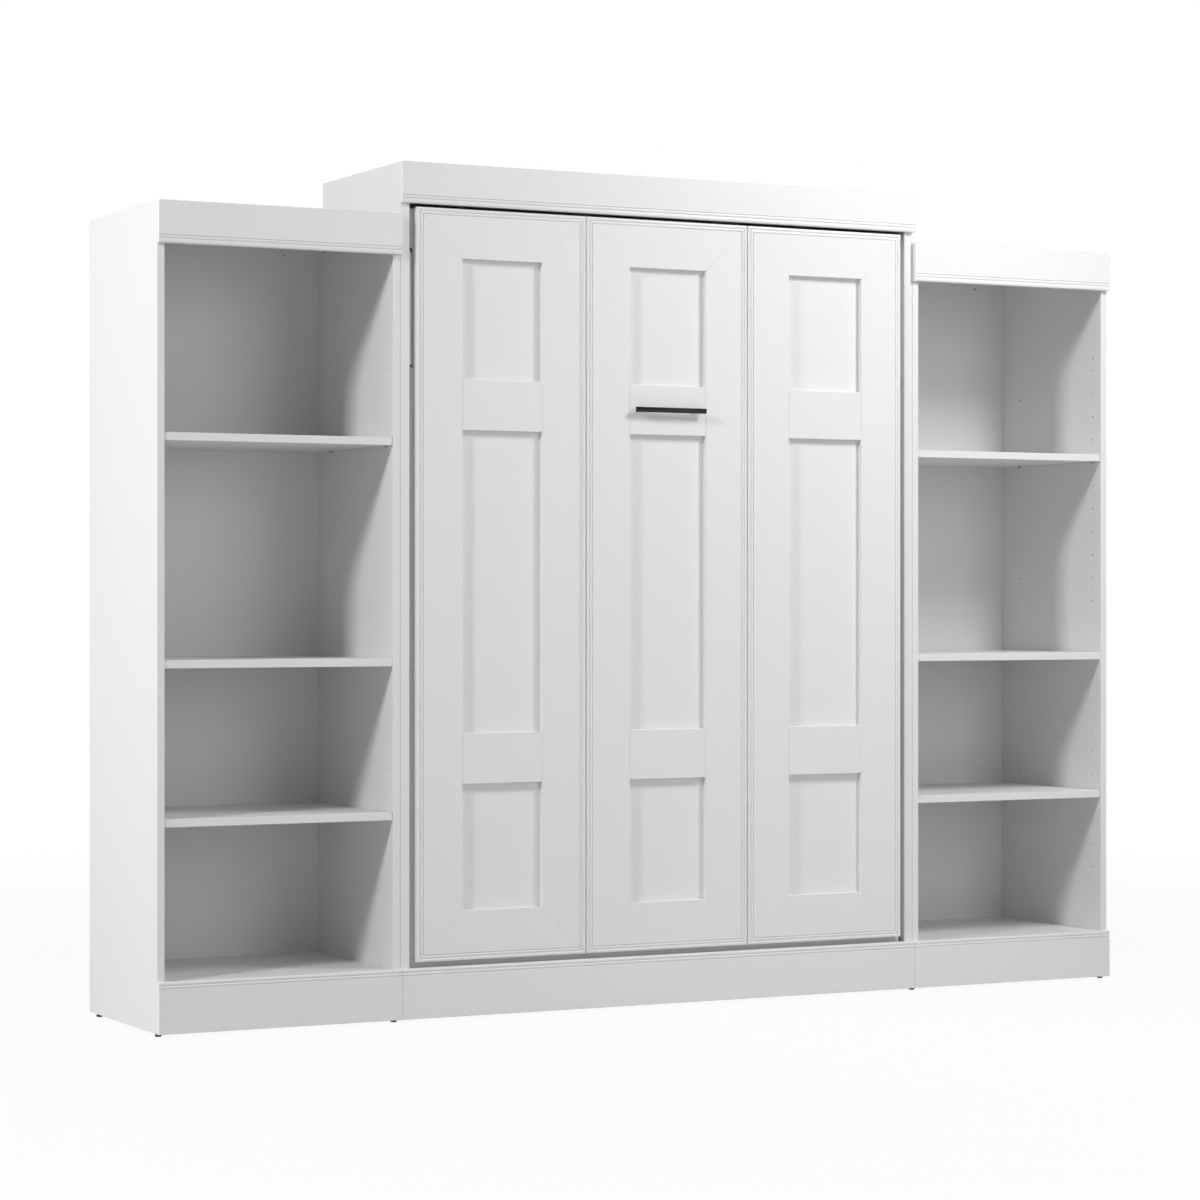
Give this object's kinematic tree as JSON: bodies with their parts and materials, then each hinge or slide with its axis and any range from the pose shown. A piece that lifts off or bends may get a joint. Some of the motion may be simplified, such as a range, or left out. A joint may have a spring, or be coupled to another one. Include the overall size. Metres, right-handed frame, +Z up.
{
  "type": "wall bed",
  "caption": "White wall bed that tilts down out of a panelled cabinet between two open shelving units, with a bar pull, gas struts and self-folding legs.",
  "frame": {"origin": "floor level, under the middle of the shut bed's bounding box", "axes": "+X to the right seen from the room, +Y towards the wall, +Z up"},
  "size_m": [2.7706, 0.534, 2.137],
  "materials": {
    "white_laminate": "white melamine laminate, satin",
    "white_front": "white thermofoil front, satin",
    "zinc_steel": "zinc plated",
    "pale_steel": "off-white powder coat",
    "black_steel": "black paint, semi gloss",
    "handle_black": "black, satin",
    "black_plastic": "moulded, matt",
    "nylon": "natural nylon",
    "stop_rubber": "moulded rubber",
    "beech_slat": "laminated beech, sealed"
  },
  "bodies": {
    "cabinet": {"centre_back": "white_laminate", "centre_crown": "white_front", "centre_plinth": "white_front", "centre_side_left": "white_laminate", "centre_side_right": "white_laminate", "centre_top": "white_laminate", "centre_wall_rail_lower": "white_laminate", "centre_wall_rail_upper": "white_laminate", "closing_stops": "stop_rubber", "floor_glides": "black_plastic", "headboard": "white_laminate", "left_back": "white_laminate", "left_crown": "white_front", "left_deck": "white_laminate", "left_fixed_shelf": "white_laminate", "left_inner_side": "white_laminate", "left_lower_shelf": "white_laminate", "left_outer_side": "white_laminate", "left_plinth": "white_front", "left_top": "white_laminate", "left_upper_shelf": "white_laminate", "pivot_plates": "zinc_steel", "right_back": "white_laminate", "right_crown": "white_front", "right_deck": "white_laminate", "right_fixed_shelf": "white_laminate", "right_inner_side": "white_laminate", "right_lower_shelf": "white_laminate", "right_outer_side": "white_laminate", "right_plinth": "white_front", "right_top": "white_laminate", "right_upper_shelf": "white_laminate", "shelf_pins": "zinc_steel", "strut_brackets": "zinc_steel", "unit_bolts": "zinc_steel", "unit_wall_rails": "white_laminate"},
    "bed": {"bed_rail_left": "pale_steel", "bed_rail_right": "pale_steel", "cross_bars": "pale_steel", "door_left_frame": "white_front", "door_left_panel": "white_front", "door_middle_frame": "white_front", "door_middle_panel": "white_front", "door_right_frame": "white_front", "door_right_panel": "white_front", "foot_rail": "pale_steel", "handle": "handle_black", "head_rail": "pale_steel", "hinge_plates": "pale_steel", "mattress_stop": "pale_steel", "pivot_bushes": "nylon", "slat_beam": "pale_steel", "slat_holders": "black_plastic", "slats": "beech_slat"},
    "left_leg": {"leg_left": "pale_steel"},
    "right_leg": {"leg_right": "pale_steel"},
    "left_cylinder": {"strut_cylinder_left": "black_steel"},
    "right_cylinder": {"strut_cylinder_right": "black_steel"},
    "left_rod": {"strut_rod_left": "zinc_steel"},
    "right_rod": {"strut_rod_right": "zinc_steel"}
  },
  "joints": [
    {"name": "bed_tilt", "type": "hinge", "parent": "cabinet", "child": "bed", "pos_m": [0, -0.075, 0.4], "axis": [1, 0, 0], "range_deg": [0, 90], "stiffness_Nm_per_rad": 160, "springref_deg": -85.94},
    {"name": "left_leg_swing", "type": "hinge", "parent": "bed", "child": "left_leg", "pos_m": [-0.715, -0.2015, 1.9054], "axis": [1, 0, 0], "range_deg": [-90, 0]},
    {"name": "left_strut_swing", "type": "hinge", "parent": "cabinet", "child": "left_cylinder", "pos_m": [-0.71, 0.005, 0.9], "axis": [1, 0, 0], "range_deg": [0, 5.02]},
    {"name": "left_strut_slide", "type": "slide", "parent": "left_cylinder", "child": "left_rod", "axis": [0, 0.0331, 0.9995], "range_m": [0, 0.1637]},
    {"name": "right_leg_swing", "type": "hinge", "parent": "bed", "child": "right_leg", "pos_m": [0.715, -0.2015, 1.9054], "axis": [1, 0, 0], "range_deg": [-90, 0]},
    {"name": "right_strut_swing", "type": "hinge", "parent": "cabinet", "child": "right_cylinder", "pos_m": [0.71, 0.005, 0.9], "axis": [1, 0, 0], "range_deg": [0, 5.02]},
    {"name": "right_strut_slide", "type": "slide", "parent": "right_cylinder", "child": "right_rod", "axis": [0, 0.0331, 0.9995], "range_m": [0, 0.1637]}
  ],
  "couplings": [
    {"joint": "left_leg_swing", "follows": "bed_tilt", "ratio": -1},
    {"joint": "left_strut_swing", "follows": "bed_tilt", "ratio": 0.055654},
    {"joint": "left_strut_slide", "follows": "bed_tilt", "m_per_rad": 0.10415},
    {"joint": "right_leg_swing", "follows": "bed_tilt", "ratio": -1},
    {"joint": "right_strut_swing", "follows": "bed_tilt", "ratio": 0.055654},
    {"joint": "right_strut_slide", "follows": "bed_tilt", "m_per_rad": 0.10415}
  ]
}
